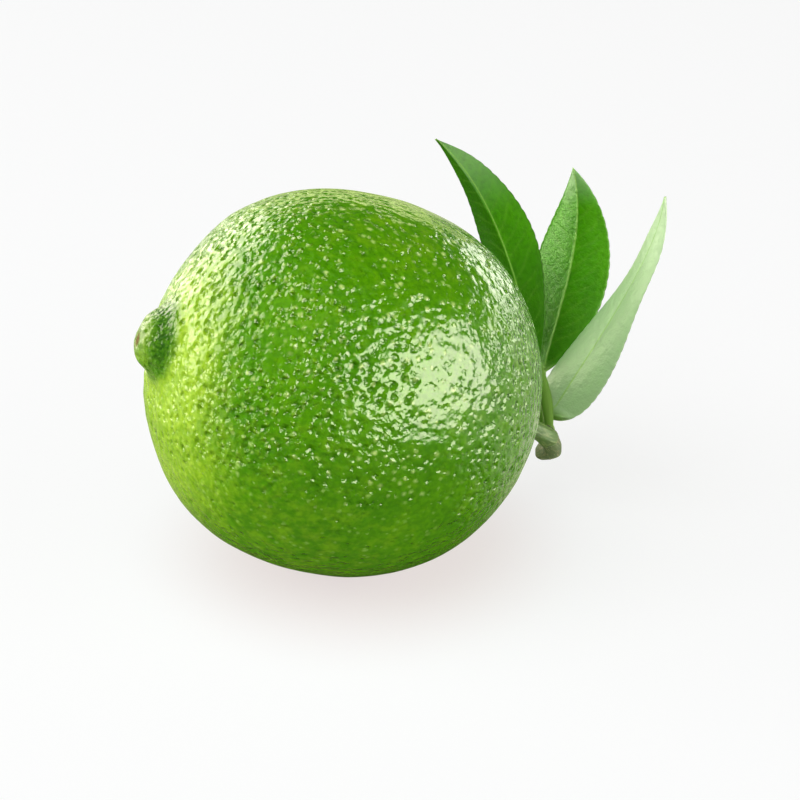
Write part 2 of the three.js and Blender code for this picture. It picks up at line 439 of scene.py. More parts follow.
def cells_of(tree, place, layer):
    """The distance from the middle of a layer's nearest cell, and that cell's chances from 0 to 1."""
    moved = vector_math(tree, "ADD", place, layer["shift"])
    inputs = {"Vector": moved, "Scale": 1 / layer["cell"], "Randomness": 0.9}
    cells = add_node(tree, "ShaderNodeTexVoronoi", inputs, voronoi_dimensions="3D", feature="F1").outputs
    return cells["Distance"], parts_of(tree, cells["Color"])


def pit_depth(tree, place, layer, widening=1.0):
    """Depth of a layer's pits in millimetres at a bent place, in shaders and in geometry."""
    distance, chances = cells_of(tree, place, layer)
    reach = layer["radius"] * widening / layer["cell"]
    hollow = remap(tree, distance, 0.0, reach, 1.0, 0.0, "LINEAR")
    limits = [share * layer["depth"] for share in PIT_DEPTH_RANGE]
    depth = remap(tree, chances[0], 0.0, 1.0, *limits, "LINEAR")
    return multiply(tree, calculate(tree, "POWER", hollow, layer["power"]), depth)


def dent_depth(tree, place, uneven):
    """Depth of the dents in millimetres."""
    return multiply(tree, pit_depth(tree, uneven, DENTS), layer_share(tree, place, DENTS))


def raised_dots(tree, place, uneven, layer):
    """Share from 0 to 1 of raised dots of uneven sizes."""
    distance, chances = cells_of(tree, uneven, layer)
    widest = layer["radius"] / layer["cell"]
    reach = remap(tree, chances[1], 0.0, 1.0, layer["least"], widest, "LINEAR")
    dots = remap(tree, distance, 0.0, reach, 1.0, 0.0)
    return multiply(tree, dots, layer_share(tree, place, layer))


def press_relief_in(obj, place_name):
    """Press the large pits and the dents into the object's mesh."""
    group = bpy.data.node_groups.new("relief", "GeometryNodeTree")
    for way in ("INPUT", "OUTPUT"):
        group.interface.new_socket("Geometry", in_out=way, socket_type="NodeSocketGeometry")
    start = add_node(group, "NodeGroupInput")
    inputs = {"Name": place_name}
    named = add_node(group, "GeometryNodeInputNamedAttribute", inputs, data_type="FLOAT_VECTOR")
    place = named.outputs[0]
    uneven = bent(group, place)
    pits = multiply(group, pit_depth(group, uneven, LARGE_PITS, MESH_PIT_WIDENING), MESH_PIT_DEPTH)
    dents = multiply(group, dent_depth(group, place, uneven), MESH_DENT_DEPTH)
    inward = multiply(group, add_up(group, pits, dents), -MM)
    normal = add_node(group, "GeometryNodeInputNormal").outputs[0]
    inputs = {0: normal, "Scale": inward}
    offset = add_node(group, "ShaderNodeVectorMath", inputs, operation="SCALE").outputs[0]
    moved = add_node(group, "GeometryNodeSetPosition", {"Geometry": start.outputs[0], "Offset": offset})
    add_node(group, "NodeGroupOutput", {0: moved.outputs[0]})
    obj.modifiers.new("relief", "NODES").node_group = group
    made = bpy.data.meshes.new_from_object(obj.evaluated_get(bpy.context.evaluated_depsgraph_get()))
    obj.modifiers.clear()
    bpy.data.node_groups.remove(group)
    obj.data = made


# ----- the skin's material

SKIN_ROUGHNESS = 0.18
SCAR_ROUGHNESS = 0.9
SKIN_GLOSS_TINT = (1.0, 0.95, 0.76, 1)
# The furrow colours are painted shade. The gland colour is partly the glands' own pale and partly painted
# glints, and the grain colour is painted light on the grains' tops.
SKIN_COLOURS = {
    "green": srgb(79, 148, 0), "paler green": srgb(91, 158, 0), "yellow_and_lit": srgb(166, 208, 34),
    "streak": srgb(206, 236, 90), "nipple": srgb(112, 158, 36), "furrow": srgb(36, 96, 0),
    "paler furrow": srgb(76, 136, 6), "glint_on_gland": srgb(206, 236, 130), "lit_grain_top": srgb(160, 212, 40),
    "scar": srgb(108, 82, 30),
}
# The hollows, as painted shade, and the fine mottle multiply the colour by these.
PAINTED_HOLLOW_SHADE = (0.4, 0.6, 0.1, 1)
MOTTLE_SHADE = (0.5, 0.66, 0.3, 1)


def skin_colour(tree, place, zones, relief):
    """Greens, yellower in patches partly as painted light, painted shade in the hollows and the furrow, pale
    glands partly painted as glints, grain tops painted paler as lit, and a brown scar.
    """
    colours = SKIN_COLOURS
    broad = remap(tree, noise_of(tree, place, 9.0), 0.35, 0.65)
    uneven_yellow = remap(tree, noise_of(tree, place, 2.2, 3.0), 0.3, 0.7, -0.15, 0.15)
    yellow_and_lit = remap(tree, add_up(tree, zones["yellow_and_lit"], uneven_yellow), 0.05, 1.0, 0.0, 1.0, "LINEAR")
    streak = remap(tree, noise_of(tree, place, 1.0), 0.5, 0.75, 0.0, 0.5)
    furrow_mottle = remap(tree, noise_of(tree, place, 0.5), 0.4, 0.6)
    shaded_furrow_green = mix_colours(tree, furrow_mottle, colours["furrow"], colours["paler furrow"])
    furrow_shade_share = remap(tree, parts_of(tree, place)[0], -3.0, 1.5, 0.35, 0.95)
    sunken = calculate(tree, "MULTIPLY_ADD", relief["dents"], 0.5, relief["pits"])
    mottle = remap(tree, noise_of(tree, place, 0.75), 0.35, 0.65, 0.0, 0.55)
    coats = [
        (broad, colours["paler green"]),
        # Yellower patches, partly painted light.
        (yellow_and_lit, colours["yellow_and_lit"]),
        (multiply(tree, streak, zones["yellow_and_lit"]), colours["streak"]),
        (zones["nipple"], colours["nipple"]),
        # Painted shade in the furrow round the nipple, stronger on its upper side.
        (multiply(tree, zones["furrow"], furrow_shade_share), shaded_furrow_green),
        # Painted shade in the pits and dents, darker where they sink deeper.
        (remap(tree, sunken, 0.0, 0.24, 0.0, 0.62), PAINTED_HOLLOW_SHADE, "MULTIPLY"),
        (mottle, MOTTLE_SHADE, "MULTIPLY"),
        # Pale dots on the glands, partly painted glints.
        (multiply(tree, relief["glands"], 0.95), colours["glint_on_gland"]),
        # Grain tops painted paler, as light falling on them.
        (multiply(tree, relief["grains"], 0.4), colours["lit_grain_top"]),
        (zones["scar"], colours["scar"]),
    ]
    return painted(tree, colours["green"], coats)


def skin_height(tree, place, zones, relief):
    """The bump's height in millimetres: soft noise less pits and dents, with glands and grains on it."""
    parts = [
        multiply(tree, noise_of(tree, place, layer["size"], 0.0), layer_share(tree, place, layer))
        for layer in (SWELLS, COBBLES)
    ]
    parts.append(multiply(tree, add_up(tree, relief["pits"], relief["dents"]), -1.0))
    parts.append(multiply(tree, relief["glands"], GLANDS["height"]))
    parts.append(multiply(tree, relief["grains"], GRAINS["height"]))
    parts.append(multiply(tree, noise_of(tree, place, 0.6, 1.0), zones["furrow"], 0.32))
    return add_up(tree, *parts)


def skin_material():
    material, tree, shader = new_material("lime_skin", SKIN_ROUGHNESS, 0.5)
    shader.inputs["Specular Tint"].default_value = SKIN_GLOSS_TINT
    place = attribute(tree, "skin_place")
    uneven = bent(tree, place)
    zones = dict(zip(("yellow_and_lit", "nipple", "scar"), parts_of(tree, attribute(tree, "skin_zone"))))
    zones["furrow"] = attribute(tree, "skin_furrow", "Fac")

    large, small = (
        multiply(tree, pit_depth(tree, uneven, layer), layer_share(tree, place, layer))
        for layer in (LARGE_PITS, SMALL_PITS)
    )
    gland_patches = remap(tree, noise_of(tree, place, 6.0, 1.0), 0.35, 0.6, 0.4, 1.0)
    off_furrow = calculate(tree, "SUBTRACT", 1.0, zones["furrow"])
    relief = {
        "pits": add_up(tree, large, small),
        "dents": dent_depth(tree, place, uneven),
        "grains": raised_dots(tree, place, uneven, GRAINS),
        "glands": multiply(tree, raised_dots(tree, place, uneven, GLANDS), gland_patches, off_furrow),
    }
    colour = skin_colour(tree, place, zones, relief)
    set_surface(tree, shader, colour, skin_height(tree, place, zones, relief))
    by_scar = remap(tree, zones["scar"], 0.0, 1.0, SKIN_ROUGHNESS, SCAR_ROUGHNESS)
    roughness = calculate(tree, "MULTIPLY_ADD", zones["furrow"], 0.1, by_scar)
    tree.links.new(roughness, shader.inputs["Roughness"])
    return material


# ----- fruit

FRUIT_STEPS = 128
PROFILE_STEPS = 3000
NIPPLE_LEAN = 0.28
# Grooves that run out from the calyx.
STEM_GROOVES = {"count": 9, "height": 0.3, "reach": 7.5}
GROOVE_WANDER = 0.8
# Low lumps: their size, height and seed.
BODY_LUMPS = [(16, 0.1, 5), (6, 0.035, 6)]
NIPPLE_LUMPS = (3.4, 0.12, 7)
# How much slimmer the body gets towards the nipple, under it and all round.
SLIMMER_UNDER = 0.3
SLIMMER_ALL_ROUND = 0.45
# The radii where the scar and the nipple end and where they are full, and the middle of the furrow.
SCAR_EDGE = (1.25, 0.5)
NIPPLE_EDGE = (3.4, 1.4)
FURROW_RADIUS = 4.0
FURROW_WIDTH = 1.7
# Yellower patches, partly the fruit's own colour and partly painted light where the skin faces the left
# lamps, the floor and the top: the way to each in the room's directions, its reach in degrees, and how
# strongly it turns the skin yellower.
YELLOW_PATCHES = [
    ((-0.88, -0.48, 0.06), 40, 0.6),
    ((-0.5, -0.65, -0.58), 60, 0.16),
    ((-0.82, -0.35, 0.45), 34, 0.72),
    ((0.2, 0.0, 0.98), 38, 0.1),
]


def fruit_profile():
    """[radius, place along the axis] from the nipple's tip to the bottom of the stem's dimple."""
    nipple = spline(NIPPLE_PROFILE, 200)
    nipple = np.vstack([[0, NIPPLE_TIP], nipple]) + [0, BODY_HALF_LENGTH]
    foot = math.asin((NIPPLE_PROFILE[-1][0] / BODY_RADIUS) ** (BODY_FULLNESS / 2))
    angle = np.linspace(foot, math.pi, PROFILE_STEPS // 2)[1:]
    power = 2 / BODY_FULLNESS
    radius = BODY_RADIUS * np.clip(np.sin(angle), 0, 1) ** power
    along = BODY_HALF_LENGTH * np.sign(np.cos(angle)) * np.abs(np.cos(angle)) ** power
    dimple = STEM_DIMPLE_DEPTH * hump(radius, STEM_DIMPLE_RADIUS)
    body = np.stack([radius, along + np.where(along < 0, dimple, 0)], 1)
    profile = evenly(np.vstack([nipple, body]), PROFILE_STEPS)
    # The nipple's foot runs softly into the body.
    window = np.hanning(PROFILE_STEPS // 40)
    soft = np.stack([np.convolve(column, window / window.sum(), "same") for column in profile.T], 1)
    by_foot = smooth(profile[:, 0], 2.6, 4.0) * smooth(profile[:, 0], 10.0, 7.0) * (profile[:, 1] > 0)
    return profile + by_foot[:, None] * (soft - profile)


def ball(steps):
    """Directions and quads of a cube that is blown up to a ball."""
    line = np.tan(np.linspace(-math.pi / 4, math.pi / 4, steps + 1))
    across, up = np.meshgrid(line, line)
    grids, faces = [], []
    for axis in range(3):
        for sign in (-1, 1):
            cube = np.empty((steps + 1, steps + 1, 3))
            cube[..., axis] = sign
            cube[..., (axis + 1) % 3] = across * sign
            cube[..., (axis + 2) % 3] = up
            faces.append(grid_faces(steps + 1, steps + 1, False) + len(grids) * (steps + 1) ** 2)
            grids.append(unit(cube).reshape(-1, 3))
    ways, keys = np.unique(np.round(np.vstack(grids), 6), axis=0, return_inverse=True)
    return unit(ways), keys.ravel()[np.vstack(faces)]


def fruit_points(ways):
    """Points in the fruit's own frame, and their radius and place along the axis before the lumps."""
    profile = fruit_profile()
    polar = np.arccos(np.clip(ways[:, 2], -1, 1)) / math.pi
    radius, along = (np.interp(polar, np.linspace(0, 1, PROFILE_STEPS), column) for column in profile.T)
    round_axis = np.arctan2(ways[:, 1], ways[:, 0])

    grooves = np.cos(STEM_GROOVES["count"] * round_axis + GROOVE_WANDER * np.sin(2 * round_axis + 1))
    by_stem = hump(radius, STEM_GROOVES["reach"]) * (along < 0) * smooth(radius, 1.0, 4.0)
    along = along + STEM_GROOVES["height"] * by_stem * grooves
    points = np.stack([radius * np.cos(round_axis), radius * np.sin(round_axis), along], 1)

    lumps = sum(height * wave_noise(points, size, seed) for size, height, seed in BODY_LUMPS)
    size, height, seed = NIPPLE_LUMPS
    lumps += smooth(along, 24.5, 27.5) * height * wave_noise(points, size, seed)
    under = smooth(np.cos(round_axis), 0.3, -0.6)
    lumps -= SLIMMER_UNDER * under * smooth(along, 12.0, 22.0) * smooth(radius, 4.0, 7.0)
    lumps -= SLIMMER_ALL_ROUND * smooth(along, 18.0, 25.0) * smooth(radius, 4.0, 8.0)
    points += lumps[:, None] * unit(points)
    # The nipple is fuller on its upper side.
    points[:, 0] *= 1 + NIPPLE_LEAN * smooth(along, 26.4, 28.2) * smooth(points[:, 0], 0.0, 1.5)
    return points, radius, along


def stand_on_floor(obj):
    """Press whatever reaches below the floor flat."""
    points = np.empty(len(obj.data.vertices) * 3)
    obj.data.vertices.foreach_get("co", points)
    points = points.reshape(-1, 3)
    points[:, 2] = np.maximum(points[:, 2], 0)
    obj.data.vertices.foreach_set("co", points.ravel())
    obj.data.update()


def make_fruit():
    """The fruit, with its nipple, furrow, scar, stem dimple, pits and flat spot."""
    ways, faces = ball(FRUIT_STEPS)
    points, radius, along = fruit_points(ways)
    place = from_fruit_frame(points)
    # Yellower patches, partly painted light on the sides that face the lamps and the floor.
    yellow_and_lit = sum(
        share * smooth(unit(place) @ unit(way), math.cos(math.radians(width)), 1.0)
        for way, width, share in YELLOW_PATCHES
    )
    nipple = smooth(radius, *NIPPLE_EDGE) * (along > 0)
    scar = smooth(radius, *SCAR_EDGE) * (along > 0)
    furrow = hump(radius - FURROW_RADIUS, FURROW_WIDTH) * (along > 0)
    zones = np.stack([yellow_and_lit * (1 - furrow), nipple, scar], 1)
    attributes = {"skin_place": points, "skin_zone": zones, "skin_furrow": furrow}
    fruit = new_mesh("fruit_skin", place + MIDDLE, faces, attributes)
    press_relief_in(fruit, "skin_place")
    stand_on_floor(fruit)
    finish_piece(fruit, "fruit", skin_material())


# ----- calyx, stalk and twig

STEM_COLUMNS = 36
STALK_ROWS = 60
STALK_HANDLE = 1.6
TWIG_ROWS = 150
# The twig's last rows turn over the edge of its cut, and bulge out by this much in its middle.
CUT_ROWS = 8
CUT_BULGE = 0.12
# The swelling and the bud by each leaf, in twig radii, and the bud's place along the twig in millimetres.
NODE_SWELLING = 0.26
BUD_HEIGHT = 0.42
BUD_PLACE = -1.25

CALYX_LOBES = 5
CALYX_COLUMNS = 120
CALYX_ROWS = 48
LOBE_DEPTH = 0.26
LOBE_LIFT = 0.22
CALYX_RIB_HEIGHT = 0.07
# [radius, height above the fruit's surface] from the collar to the rim and back under it.
CALYX_PROFILE = [
    (1.45, 2.3), (1.75, 2.1), (1.95, 1.75), (2.3, 1.35), (2.9, 0.95), (3.4, 0.62), (3.62, 0.35),
    (3.5, 0.12), (2.9, -0.05), (1.6, -0.1),
]

# Each material: its roughness, and its base, dark, pale and cut colours.
STEM_MATERIALS = {
    "calyx_green": (0.62, srgb(112, 138, 58), srgb(92, 112, 44), srgb(160, 164, 96), srgb(134, 112, 66)),
    "stalk_green": (0.55, srgb(98, 134, 52), srgb(80, 112, 40), srgb(150, 168, 90), srgb(150, 170, 90)),
    "twig_bark": (0.66, srgb(96, 118, 58), srgb(74, 92, 46), srgb(158, 156, 104), srgb(206, 204, 150)),
}
STEM_SPECULAR = 0.4
CUT_RINGS = srgb(188, 170, 118)


def stem_material(name):
    """Green or barky skin with streaks along it, small pale spots, and bare wood where cut is 1."""
    roughness, base, dark, pale, cut_colour = STEM_MATERIALS[name]
    material, tree, shader = new_material(name, roughness, STEM_SPECULAR)
    place = attribute(tree, "stem_place")
    streaks = noise_of(tree, vector_math(tree, "MULTIPLY", place, (1, 1, 0.16)), 0.35, 3.0, 0.6)
    spots = add_node(tree, "ShaderNodeTexVoronoi", {"Vector": place, "Scale": 0.9}).outputs["Distance"]
    wood = mix_colours(tree, noise_of(tree, place, 0.25), cut_colour, CUT_RINGS)
    coats = [
        (remap(tree, noise_of(tree, place, 2.2), 0.35, 0.7), dark),
        (remap(tree, streaks, 0.48, 0.7, 0.0, 0.8), pale),
        (remap(tree, spots, 0.1, 0.22, 0.6, 0.0), pale),
        (attribute(tree, "cut", "Fac"), wood),
    ]
    height = add_up(tree, multiply(tree, streaks, 0.12), multiply(tree, spots, 0.05))
    set_surface(tree, shader, painted(tree, base, coats), height)
    return material


def stem_end_at(radius):
    """Place along the axis of the dimpled stem end, at a distance from the axis."""
    share = 1 - (np.asarray(radius, float) / BODY_RADIUS) ** BODY_FULLNESS
    dimple = STEM_DIMPLE_DEPTH * hump(radius, STEM_DIMPLE_RADIUS)
    return -BODY_HALF_LENGTH * share ** (1 / BODY_FULLNESS) + dimple


def make_calyx():
    """Five short broad lobes pressed on the fruit, with a collar round the stalk."""
    profile = spline(CALYX_PROFILE, CALYX_ROWS)
    turn = np.linspace(0, 2 * math.pi, CALYX_COLUMNS, endpoint=False)
    lobe = np.abs(np.cos(CALYX_LOBES * turn / 2 + 0.3)) ** 0.55
    uneven = 0.05 * np.sin(2 * turn + 1) + 0.04 * np.sin(3 * turn)
    reach = np.clip(profile[:, 0] / CALYX_RADIUS, 0, 1)[:, None] ** 2.2
    radius = profile[:, :1] * (1 + reach * (LOBE_DEPTH * (lobe - 0.72) + uneven))
    above = profile[:, 1:]
    ribs = CALYX_RIB_HEIGHT * np.cos(2 * CALYX_LOBES * turn + 0.6) * np.sin(math.pi * reach)
    lift = above + ribs * (above > 0.3) + LOBE_LIFT * reach * (1 - lobe) * (above > 0.2)
    place = np.stack([radius * np.cos(turn), radius * np.sin(turn), stem_end_at(radius) - lift], -1)
    rim = np.clip((reach * (1.1 - lobe[None] * 0.25)) ** 3, 0, 1)
    calyx = capped_body("calyx_button", from_fruit_frame(place), {"stem_place": place, "cut": rim})
    finish_piece(calyx, "calyx", stem_material("calyx_green"))


def leaf_root(leaf, twig):
    """The point on the twig's middle line where a leaf's stalk leaves, and the way out from it."""
    row = round(leaf["twig_place"] * (len(twig) - 1))
    out = np.array(leaf["midrib"][0]) - twig[row]
    way = tangents(twig)[row]
    return twig[row], unit(out - way * (out @ way))


def round_stem(rows, length, radius_at):
    """A round stem's outlines and its points' places. radius_at takes a share of the length and an angle."""
    turn = np.linspace(0, 2 * math.pi, STEM_COLUMNS, endpoint=False)
    share = np.linspace(0, 1, rows)[:, None]
    radius = radius_at(share, turn[None])
    outline = np.stack([radius * np.cos(turn), radius * np.sin(turn)], -1)
    place = np.dstack([outline, np.broadcast_to(share * length, radius.shape)])
    return outline, place


def make_stalk(twig):
    """The fruit's stalk, from inside the calyx to the twig, thicker where it holds the fruit."""
    axis = np.array(FRUIT_AXIS)
    start = axis * (stem_end_at(0.0) - 1.2)
    twig_way = tangents(twig)[0]
    end = twig[0] + twig_way * 0.5
    line = bezier([start, start - axis * STALK_HANDLE, end - twig_way * STALK_HANDLE, end], STALK_ROWS)

    def radius_at(share, turn):
        swell = 0.32 * hump(share, 0.16) + 0.15 * hump(share - 1, 0.2)
        joint = -0.1 * hump(share - 0.3, 0.025)
        return STALK_RADIUS * (0.98 + swell + joint + 0.045 * np.cos(5 * turn + 1.2 * share))

    outline, place = round_stem(STALK_ROWS, length_of(line), radius_at)
    attributes = {"stem_place": place, "cut": np.zeros(outline.shape[:2])}
    stalk = swept("fruit_stem", line, tangents(line), np.array([UP]), outline, attributes)
    finish_piece(stalk, "fruit_stalk", stem_material("stalk_green"))


def make_twig(twig):
    """A ridged twig, swollen under each leaf, with a bud over each leaf's stalk and a bare cut end."""
    ways = tangents(twig)
    ups = square_to(ways, np.array([UP]))
    across = np.cross(ups, ways)
    length = length_of(twig)
    bumps = []
    for leaf in LEAVES.values():
        out = leaf_root(leaf, twig)[1]
        row = round(leaf["twig_place"] * (TWIG_ROWS - 1))
        bumps.append((leaf["twig_place"], math.atan2(out @ ups[row], out @ across[row])))

    def radius_at(share, turn):
        radius = 0.93 + 0.05 * np.cos(3 * turn + 2.2 * share) + 0.02 * np.cos(7 * turn - 3 * share)
        for leaf_share, angle in bumps:
            facing = np.clip(np.cos(turn - angle), 0, 1)
            near = (share - leaf_share) * length
            swelling = NODE_SWELLING * hump(near, 1.1) * facing**2
            bud = BUD_HEIGHT * hump(near - BUD_PLACE, 0.45) * facing**10
            radius = radius + swelling + bud
        return TWIG_RADIUS * radius

    outline, place = round_stem(TWIG_ROWS, length, radius_at)
    edge = TWIG_ROWS - CUT_ROWS
    inward = np.r_[np.ones(edge), np.linspace(1, 0, CUT_ROWS + 1)[1:]]
    outline = outline * inward[:, None, None]
    line = twig.copy()
    line[edge:] = twig[edge] + ways[edge] * np.linspace(0.0, CUT_BULGE, CUT_ROWS)[:, None]
    ways[edge:] = ways[edge]
    cut = np.repeat(smooth(inward, 0.97, 0.86)[:, None], STEM_COLUMNS, 1)
    wood = swept("twig_bark", line, ways, ups, outline, {"stem_place": place, "cut": cut})
    finish_piece(wood, "twig", stem_material("twig_bark"))


# ----- leaves

BLADE_ROWS = 190
LEAF_STALK_ROWS = 26
LEAF_COLUMNS = 49
LEAF_HALF_THICKNESS = 0.15
NOTCH_SPACING = 1.55
NOTCH_DEPTH = 0.13
VEIN_SPACING = 2.5
VEIN_HALF_WIDTH = 0.2
MIDRIB_DEPTH = 0.42
FOLD_ROUNDING = 0.35
BLADE_ARCH = 0.22
RIPPLE_HEIGHT = 0.2
QUILT_HEIGHT = 0.03
LEAF_ROUGHNESS = 0.38
LEAF_SPECULAR = 0.32
LEAF_GLOSS_TINT = (0.9, 1.0, 0.6, 1)
# dark is the colour of the shade painted on one leaf half, and pale that of the painted sheen.
LEAF_COLOURS = {
    "top": srgb(66, 146, 0), "paler top": srgb(80, 158, 2), "mottle": srgb(48, 112, 2),
    "underside": srgb(118, 170, 62), "paler underside": srgb(130, 182, 76), "dark": srgb(36, 92, 0),
    "pale": srgb(212, 238, 190), "net": srgb(120, 170, 70), "side vein": srgb(120, 176, 56),
    "midrib": srgb(150, 202, 84), "stalk": srgb(116, 158, 62),
}


def leaf_rows(leaf, twig):
    """The leaf's middle line from inside the twig to its tip, each row's share of the blade's and of the
    stalk's length, and the way its upper face looks."""
    node, out = leaf_root(leaf, twig)
    blade = bezier(leaf["midrib"], BLADE_ROWS)
    root = node + out * TWIG_RADIUS * 0.7
    base = blade[0]
    handle = np.linalg.norm(base - root) / 3
    way = tangents(blade)[0]
    stalk = bezier([root, root + out * handle, base - way * handle, base], LEAF_STALK_ROWS + 1)[:-1]
    u = np.r_[np.zeros(LEAF_STALK_ROWS), np.linspace(0, 1, BLADE_ROWS)]
    stalk_share = np.r_[np.linspace(0, 1, LEAF_STALK_ROWS, endpoint=False), np.ones(BLADE_ROWS)]
    first, middle, last = (math.radians(turn) for turn in leaf["face_turn"])
    turn = first * (1 - u) * (1 - 2 * u) + middle * 4 * u * (1 - u) + last * u * (2 * u - 1)
    forward = np.array([0, -math.cos(FACE_RAISED), math.sin(FACE_RAISED)])
    face = np.cos(turn)[:, None] * forward + np.sin(turn)[:, None] * np.array(RIGHT)
    return np.vstack([stalk, blade]), u, stalk_share, face


def leaf_half_widths(leaf, u, along, stalk_share):
    """Each row's half width, with small notches in the blade's margin."""
    base_power, tip_power = leaf["bulge"]
    widest = base_power / (base_power + tip_power)
    peak = widest**base_power * (1 - widest) ** tip_power
    half = leaf["half_width"] * u**base_power * (1 - u) ** tip_power / peak
    notch = np.abs(np.sin(math.pi * along / NOTCH_SPACING + leaf["seed"])) ** 0.7 - 0.6
    half = half + NOTCH_DEPTH * notch * smooth(half, 1.2, 3.5)
    stalk_width = LEAF_STALK_RADIUS * (0.95 + 0.5 * np.sin(math.pi * stalk_share) ** 2)
    return np.maximum(half, np.where(u > 0, 0.55 - 0.5 * u**2, stalk_width))


def leaf_veins(along, v, half, seed):
    """How much each point is on a side vein, and how high the blade arches between the veins."""
    reach = np.abs(half * v)
    lead = 0.75 * reach + 0.03 * reach**2
    wobble = 0.16 * np.sin(0.9 * along + seed + 2.0 * np.sign(v)) + 0.25 * np.sign(v)
    phase = (along - lead) / VEIN_SPACING + wobble
    to_vein = np.abs(phase - np.floor(phase) - 0.5) * VEIN_SPACING
    fading = (1 - smooth(np.abs(v), 0.55, 1.0)) * smooth(half, 0.8, 2.5)
    return hump(to_vein, VEIN_HALF_WIDTH) * fading, to_vein / VEIN_SPACING * 2 * fading


def leaf_tones(leaf, u, v, flat):
    """How pale each point of the leaf is, as painted sheen, and how dark, as painted shade on one half and a
    darker base.
    """
    first, last, low, high = leaf["pale"]
    shaded_half, dark_base = leaf["dark"]
    # One half of the leaf is darkened as painted shade.
    in_shaded_half = smooth(v - 0.3 * u**3, 0.0, 0.06) * (shaded_half > 0)
    pale = (first + (last - first) * smooth(u, low, high)) * (1 - in_shaded_half) * flat
    dark = np.maximum(shaded_half * in_shaded_half, dark_base * (1 - smooth(u, 0.15, 0.6))) * flat
    return pale, dark


def make_leaf(name, leaf, twig, material):
    """One leaf: its narrow stalk, and the folded blade with midrib, side veins and notches."""
    line, u, stalk_share, face = leaf_rows(leaf, twig)
    along = u * length_of(line[LEAF_STALK_ROWS:])
    half = leaf_half_widths(leaf, u, along, stalk_share)
    # From here on, rows run along the leaf and columns across it.
    u, along, half = u[:, None], along[:, None], half[:, None]
    flat = smooth(np.where(u > 0, along, -0.4), -0.4, 2.4)
    w = np.linspace(-1, 1, LEAF_COLUMNS)
    v = flat * w + (1 - flat) * np.sin(w * math.pi / 2)
    side = half * v
    reach = np.abs(side)

    fold = math.radians(leaf["fold"]) * flat
    raised = (np.sqrt(side**2 + FOLD_ROUNDING**2) - FOLD_ROUNDING) * np.sin(fold)
    arch = BLADE_ARCH * half * np.abs(v) * (1 - np.abs(v)) * flat
    ripple = np.sin(along / 3.1 + leaf["seed"] + 1.3 * np.sign(v)) * np.abs(v) ** 3 * flat
    ripple = RIPPLE_HEIGHT * ripple * smooth(half, 1.0, 4.0)
    side_vein, quilt = leaf_veins(along, v, half, leaf["seed"])
    midrib = hump(reach, 0.08 + 0.06 * (1 - u)) * flat

    middle = raised + arch + ripple + QUILT_HEIGHT * quilt * flat
    round_part = (1 - flat) * half * np.sqrt(np.clip(1 - v**2, 0, 1)) * 0.85
    flat_part = flat * LEAF_HALF_THICKNESS * np.sqrt(np.clip(1 - np.abs(v) ** 8, 0, 1))
    rib = flat * (MIDRIB_DEPTH - 0.3 * u) * hump(reach, 0.5 - 0.25 * u)
    top = middle + round_part + flat_part - 0.02 * side_vein + 0.03 * midrib
    bottom = middle - round_part - flat_part - 0.05 * side_vein - rib

    def both(values, lower=None):
        """The values of the upper face, then of the lower face on the way back."""
        lower = values if lower is None else lower
        return np.concatenate([values, lower[:, -2:0:-1]], 1)

    across = side * np.cos(fold)
    outline = np.stack([both(across), both(top, bottom)], -1)
    faces_up = both(np.ones_like(v), np.zeros_like(v))
    faces_up[:, [0, LEAF_COLUMNS - 1]] = 0.5
    # The leaf's painted sheen and painted shade.
    pale, dark = leaf_tones(leaf, u, v, flat)
    attributes = {
        "leaf_veins": np.stack([both(midrib), both(side_vein), faces_up], -1),
        "leaf_place": np.stack([both(part * np.ones_like(v)) for part in (side, along, flat)], -1),
        "leaf_painted_sheen": both(pale),
        "leaf_shade_and_dark_base": both(dark),
    }
    piece = swept(name + "_blade", line, tangents(line), face, outline, attributes)
    finish_piece(piece, name, material)


def leaf_material():
    """Green above, paler beneath, with a pale midrib, faint side veins and each leaf's painted sheen and
    shade.
    """
    material, tree, shader = new_material("leaf_green", LEAF_ROUGHNESS, LEAF_SPECULAR)
    shader.inputs["Specular Tint"].default_value = LEAF_GLOSS_TINT
    colours = LEAF_COLOURS
    place = attribute(tree, "leaf_place")
    midrib, side_vein, faces_up = parts_of(tree, attribute(tree, "leaf_veins"))
    pale = attribute(tree, "leaf_painted_sheen", "Fac")
    stalk = calculate(tree, "SUBTRACT", 1.0, parts_of(tree, place)[2])
    broad = remap(tree, noise_of(tree, place, 7.0), 0.3, 0.7)
    fine = noise_of(tree, place, 0.8, 3.0)
    inputs = {"Vector": place, "Scale": 1.3}
    cells = add_node(tree, "ShaderNodeTexVoronoi", inputs, feature="DISTANCE_TO_EDGE").outputs["Distance"]
    net = remap(tree, cells, 0.0, 0.09, 1.0, 0.0)

    top_coats = [(broad, colours["paler top"]), (remap(tree, fine, 0.35, 0.7, 0.0, 0.4), colours["mottle"])]
    under_coats = [(remap(tree, fine, 0.3, 0.7), colours["paler underside"])]
    coats = [
        (faces_up, painted(tree, colours["top"], top_coats)),
        # Painted shade on one half of a leaf, and a darker base.
        (attribute(tree, "leaf_shade_and_dark_base", "Fac"), colours["dark"]),
        # Painted sheen, paler towards base or tip.
        (pale, colours["pale"]),
        (multiply(tree, net, 0.02), colours["net"]),
        (multiply(tree, side_vein, remap(tree, pale, 0.0, 0.6, 0.2, 0.03)), colours["side vein"]),
        (multiply(tree, midrib, 0.75), colours["midrib"]),
        (stalk, colours["stalk"]),
    ]
    height = add_up(
        tree,
        multiply(tree, net, -0.006),
        multiply(tree, noise_of(tree, place, 0.3), 0.07),
        multiply(tree, fine, 0.12),
        multiply(tree, noise_of(tree, place, 1.9, 1.0), 0.1),
    )
    under = painted(tree, colours["underside"], under_coats)
    set_surface(tree, shader, painted(tree, under, coats), height)
    return material


